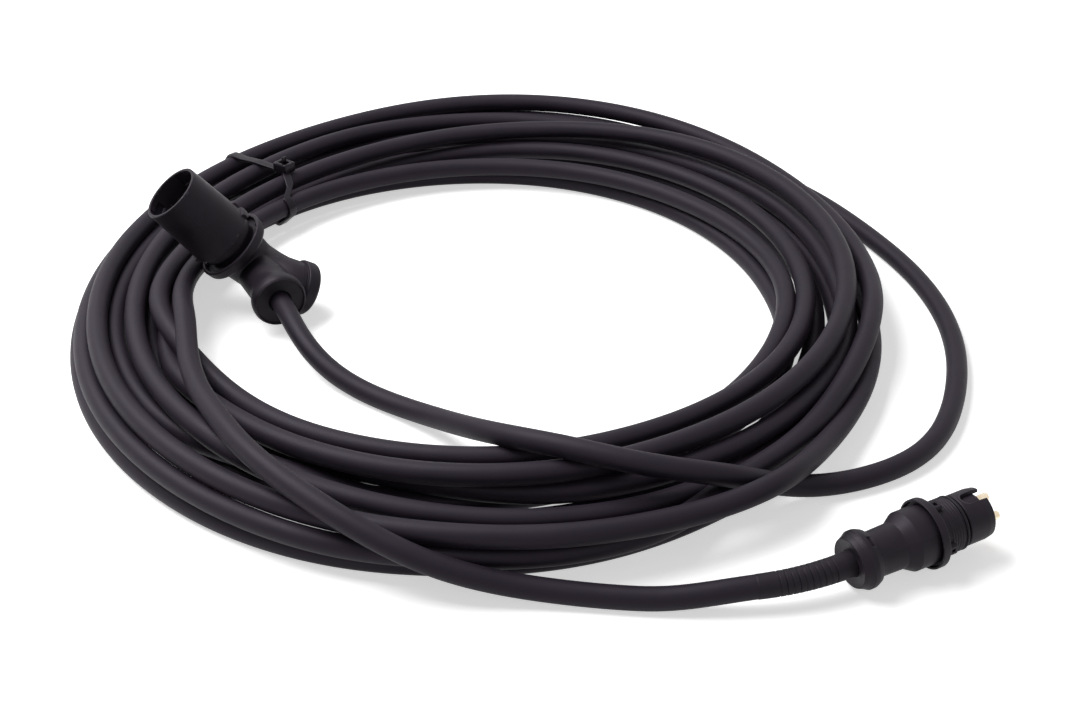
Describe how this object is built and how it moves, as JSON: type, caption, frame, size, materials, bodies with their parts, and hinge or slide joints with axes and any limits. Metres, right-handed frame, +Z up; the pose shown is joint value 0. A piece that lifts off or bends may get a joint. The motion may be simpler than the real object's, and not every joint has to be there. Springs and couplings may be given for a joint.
{
  "type": "coupler extension lead",
  "caption": "Thin round low-voltage lead in a loose tied coil, with a three-way bayonet coupler socket on one end and a small bayonet pin plug on the other.",
  "frame": {"origin": "centre of the coil, on the floor that the lead lies on", "axes": "+Z up, +X toward the side where the cord passes outside the coil, -Y toward the plug; the coupler leans toward -X"},
  "size_m": [0.3538, 0.348, 0.0619],
  "materials": {
    "connector_shell": "fine-grained moulded nylon, satin black",
    "contact_block": "dark grey moulded insulator",
    "contact_brass": "turned brass, lightly tarnished",
    "seal_rubber": "soft black rubber",
    "boot_rubber": "flexible black rubber, matt",
    "cord_sheath": "warm black rubbery sheath, matt with a faint sheen",
    "core_insulation": "smooth coloured core insulation",
    "spring_steel": "bright spring steel",
    "tie_nylon": "black nylon, slightly glossy"
  },
  "bodies": {
    "lead": {"socket_housing": "connector_shell", "sleeve_snap_ring": "spring_steel", "socket_insert": "contact_block", "socket_contacts": "contact_brass", "socket_face_seal": "seal_rubber", "branch_gland_seal": "seal_rubber", "branch_gland_washer": "contact_block", "blanking_plug": "contact_block", "blanking_seal": "seal_rubber", "socket_wires": "core_insulation", "plug_shell": "connector_shell", "plug_nose": "connector_shell", "plug_lug_ring": "connector_shell", "plug_o_ring": "seal_rubber", "plug_insert": "contact_block", "plug_pins": "contact_brass", "plug_wires": "core_insulation", "plug_cord_seal": "seal_rubber", "strain_relief": "boot_rubber", "cable_tie": "tie_nylon", "cord_socket_run": "cord_sheath", "cord_coil": "cord_sheath", "cord_plug_run": "cord_sheath"},
    "sleeve": {"coupling_sleeve": "connector_shell"}
  },
  "joints": [
    {"name": "sleeve_twist", "type": "hinge", "parent": "lead", "child": "sleeve", "pos_m": [-0.103, 0.009, 0.02699], "axis": [-0.5855, -0.1902, 0.788], "range_deg": [0, 45]}
  ]
}
